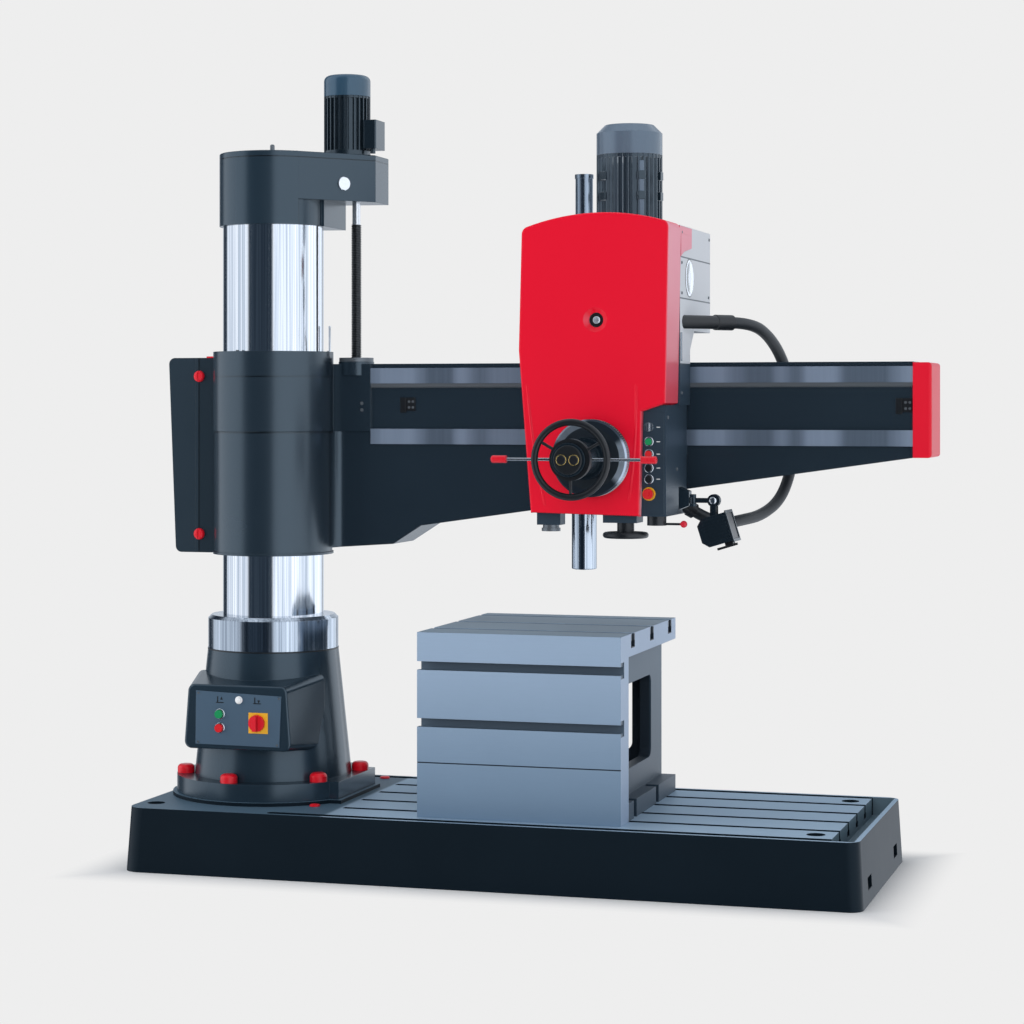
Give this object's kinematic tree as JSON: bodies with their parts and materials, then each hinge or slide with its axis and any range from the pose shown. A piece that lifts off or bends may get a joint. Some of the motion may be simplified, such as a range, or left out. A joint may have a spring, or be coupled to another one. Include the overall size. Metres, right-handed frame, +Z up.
{
  "type": "radial arm drill",
  "caption": "Floor-standing radial arm drill: slotted base, round column, lifting and swinging arm, sliding drill head with feed hub, and box table.",
  "frame": {"origin": "centre of the base's footprint, on the floor", "axes": "+X along the base and the arm, away from the column; +Y to the back; +Z up"},
  "size_m": [2.6721, 1.08, 2.715],
  "materials": {
    "dark_paint": "semi-gloss graphite paint",
    "grey_paint": "satin slate-grey paint",
    "table_paint": "planed cast iron with a blue-grey tint",
    "black_paint": "satin black paint",
    "plate": "brushed plate",
    "panel": "satin panel",
    "red_cap": "gloss red cap",
    "red_cover": "gloss red moulded cover",
    "red_plastic": "gloss red plastic",
    "red_button": "gloss red button",
    "green_button": "gloss green button",
    "black_button": "gloss black button",
    "black_plastic": "moulded black plastic",
    "steel": "ground steel",
    "dark_steel": "oiled dark steel",
    "rail_steel": "ground guide way",
    "chrome_steel": "hard-chromed and polished",
    "bronze": "bearing bronze",
    "guard": "dark drawn tube",
    "dial": "satin dial",
    "lever": "plated rod with a red grip",
    "hose_rubber": "ribbed black hose"
  },
  "bodies": {
    "base": {"base_casting": "dark_paint", "pedestal_casting": "grey_paint", "pedestal_plate": "plate", "pedestal_bolts": "red_cap", "inner_column": "steel", "column_bearings": "bronze", "box_table": "table_paint"},
    "main_switch": {"main_switch_knob": "red_plastic"},
    "pedestal_start": {"pedestal_start_button": "green_button"},
    "pedestal_stop": {"pedestal_stop_button": "red_button"},
    "column": {"outer_column": "chrome_steel", "column_ring": "steel", "cap_housing": "grey_paint", "cap_cover": "grey_paint", "lift_motor_body": "black_paint", "lift_motor_cowl": "black_paint", "lift_terminal_box": "black_paint"},
    "lead_screw": {"lead_screw": "dark_steel"},
    "arm": {"arm_casting": "dark_paint", "arm_upper_rail": "rail_steel", "arm_lower_rail": "rail_steel", "traverse_rack": "steel", "arm_end_cap": "red_cover", "lift_nut": "bronze", "cabinet_box": "grey_paint"},
    "cabinet_door": {"cabinet_door": "grey_paint"},
    "cabinet_upper_knob": {"cabinet_upper_knob": "red_plastic"},
    "cabinet_lower_knob": {"cabinet_lower_knob": "red_plastic"},
    "head": {"head_casting": "grey_paint", "front_cover": "red_cover", "panel_plate": "panel", "quill_guard_tube": "guard", "main_motor_body": "black_paint", "main_motor_cowl": "black_paint", "hub_button_post": "black_plastic", "lamp_bracket": "dark_paint", "hose_fittings": "black_plastic", "hose": "hose_rubber"},
    "motor_rotor": {"main_motor_rotor": "steel"},
    "quill": {"quill": "chrome_steel"},
    "spindle": {"spindle": "steel"},
    "feed_hub": {"feed_hub": "black_paint", "feed_dial": "dial"},
    "feed_lever_left": {"feed_lever_left": "lever"},
    "feed_lever_right": {"feed_lever_right": "lever"},
    "handwheel": {"traverse_handwheel": "black_plastic"},
    "hub_clamp_button": {"hub_clamp_button": "black_button"},
    "hub_release_button": {"hub_release_button": "black_button"},
    "panel_selector": {"panel_selector": "black_button"},
    "panel_start": {"panel_start_button": "green_button"},
    "panel_stop": {"panel_stop_button": "red_button"},
    "panel_up": {"panel_up_button": "black_button"},
    "panel_down": {"panel_down_button": "black_button"},
    "emergency_stop": {"emergency_stop": "red_button"},
    "fine_feed": {"fine_feed_handwheel": "black_plastic"},
    "speed_knob": {"speed_knob": "dark_steel"},
    "control_lever": {"control_lever": "black_paint"},
    "lamp_arm": {"lamp_arm": "black_paint"},
    "lamp_head": {"lamp_head": "black_paint"}
  },
  "joints": [
    {"name": "column_swing", "type": "hinge", "parent": "base", "child": "column", "pos_m": [-0.887, 0, 0.734], "axis": [0, 0, 1], "range_deg": [-180, 180]},
    {"name": "arm_lift", "type": "slide", "parent": "column", "child": "arm", "axis": [0, 0, 1], "range_m": [0, 0.423]},
    {"name": "lead_screw_turn", "type": "hinge", "parent": "column", "child": "lead_screw", "pos_m": [-0.616, 0.1, 2], "axis": [0, 0, 1], "continuous": true},
    {"name": "head_travel", "type": "slide", "parent": "arm", "child": "head", "axis": [1, 0, 0], "range_m": [-0.596, 0.654]},
    {"name": "handwheel_turn", "type": "hinge", "parent": "head", "child": "handwheel", "pos_m": [0.3365, -0.556, 1.3886], "axis": [0, -1, 0], "continuous": true},
    {"name": "quill_feed", "type": "slide", "parent": "head", "child": "quill", "axis": [0, 0, -1], "range_m": [-0.13, 0.185]},
    {"name": "spindle_turn", "type": "hinge", "parent": "quill", "child": "spindle", "pos_m": [0.234, 0, 1.01], "axis": [0, 0, 1], "continuous": true},
    {"name": "motor_turn", "type": "hinge", "parent": "head", "child": "motor_rotor", "pos_m": [0.377, 0.055, 2.25], "axis": [0, 0, 1], "continuous": true},
    {"name": "feed_hub_turn", "type": "hinge", "parent": "head", "child": "feed_hub", "pos_m": [0.3365, -0.45, 1.3886], "axis": [0, -1, 0], "range_deg": [-384, 545]},
    {"name": "feed_lever_left_pull", "type": "hinge", "parent": "feed_hub", "child": "feed_lever_left", "pos_m": [0.2985, -0.522, 1.3886], "axis": [0, 0, 1], "range_deg": [0, 6]},
    {"name": "feed_lever_right_pull", "type": "hinge", "parent": "feed_hub", "child": "feed_lever_right", "pos_m": [0.3745, -0.522, 1.3886], "axis": [0, 0, -1], "range_deg": [0, 6]},
    {"name": "main_switch_turn", "type": "hinge", "parent": "base", "child": "main_switch", "pos_m": [-0.821, -0.311, 0.49], "axis": [0, -1, 0], "range_deg": [0, 90]},
    {"name": "pedestal_start_press", "type": "slide", "parent": "base", "child": "pedestal_start", "axis": [0, 1, 0], "range_m": [0, 0.004], "stiffness_N_per_m": 400, "springref_m": -0.001},
    {"name": "pedestal_stop_press", "type": "slide", "parent": "base", "child": "pedestal_stop", "axis": [0, 1, 0], "range_m": [0, 0.004], "stiffness_N_per_m": 400, "springref_m": -0.001},
    {"name": "cabinet_door_swing", "type": "hinge", "parent": "arm", "child": "cabinet_door", "pos_m": [-1.182, 0.3863, 1.384], "axis": [0, 0, 1], "range_deg": [-110, 0]},
    {"name": "cabinet_upper_latch", "type": "hinge", "parent": "arm", "child": "cabinet_upper_knob", "pos_m": [-1.166, 0, 1.661], "axis": [0, -1, 0], "range_deg": [0, 90]},
    {"name": "cabinet_lower_latch", "type": "hinge", "parent": "arm", "child": "cabinet_lower_knob", "pos_m": [-1.166, 0, 1.107], "axis": [0, -1, 0], "range_deg": [0, 90]},
    {"name": "hub_clamp_press", "type": "slide", "parent": "head", "child": "hub_clamp_button", "axis": [0, 1, 0], "range_m": [0, 0.003], "stiffness_N_per_m": 400, "springref_m": -0.001},
    {"name": "hub_release_press", "type": "slide", "parent": "head", "child": "hub_release_button", "axis": [0, 1, 0], "range_m": [0, 0.003], "stiffness_N_per_m": 400, "springref_m": -0.001},
    {"name": "panel_selector_turn", "type": "hinge", "parent": "head", "child": "panel_selector", "pos_m": [0.519, -0.259, 1.489], "axis": [0, -1, 0], "range_deg": [-45, 45]},
    {"name": "panel_start_press", "type": "slide", "parent": "head", "child": "panel_start", "axis": [0, 1, 0], "range_m": [0, 0.004], "stiffness_N_per_m": 400, "springref_m": -0.001},
    {"name": "panel_stop_press", "type": "slide", "parent": "head", "child": "panel_stop", "axis": [0, 1, 0], "range_m": [0, 0.004], "stiffness_N_per_m": 400, "springref_m": -0.001},
    {"name": "panel_up_press", "type": "slide", "parent": "head", "child": "panel_up", "axis": [0, 1, 0], "range_m": [0, 0.004], "stiffness_N_per_m": 400, "springref_m": -0.001},
    {"name": "panel_down_press", "type": "slide", "parent": "head", "child": "panel_down", "axis": [0, 1, 0], "range_m": [0, 0.004], "stiffness_N_per_m": 400, "springref_m": -0.001},
    {"name": "emergency_stop_press", "type": "slide", "parent": "head", "child": "emergency_stop", "axis": [0, 1, 0], "range_m": [0, 0.004], "stiffness_N_per_m": 400, "springref_m": -0.001},
    {"name": "fine_feed_turn", "type": "hinge", "parent": "head", "child": "fine_feed", "pos_m": [0.427, -0.2, 1.133], "axis": [0, 0, 1], "continuous": true},
    {"name": "speed_knob_turn", "type": "hinge", "parent": "head", "child": "speed_knob", "pos_m": [0.174, -0.2, 1.156], "axis": [0, 0, 1], "range_deg": [-135, 135]},
    {"name": "control_lever_turn", "type": "hinge", "parent": "head", "child": "control_lever", "pos_m": [0.531, -0.2, 1.184], "axis": [0, 0, 1], "range_deg": [-30, 30]},
    {"name": "lamp_swing", "type": "hinge", "parent": "head", "child": "lamp_arm", "pos_m": [0.62, -0.052, 1.246], "axis": [0, 0, 1], "range_deg": [-30, 0]},
    {"name": "lamp_tilt", "type": "hinge", "parent": "lamp_arm", "child": "lamp_head", "pos_m": [0.69, -0.052, 1.246], "axis": [0, 1, 0], "range_deg": [-30, 10]}
  ],
  "couplings": [
    {"joint": "lead_screw_turn", "follows": "arm_lift", "rad_per_m": 1047.2},
    {"joint": "handwheel_turn", "follows": "head_travel", "rad_per_m": 62.832},
    {"joint": "feed_hub_turn", "follows": "quill_feed", "rad_per_m": 51.291},
    {"joint": "feed_lever_right_pull", "follows": "feed_lever_left_pull", "ratio": 1}
  ]
}
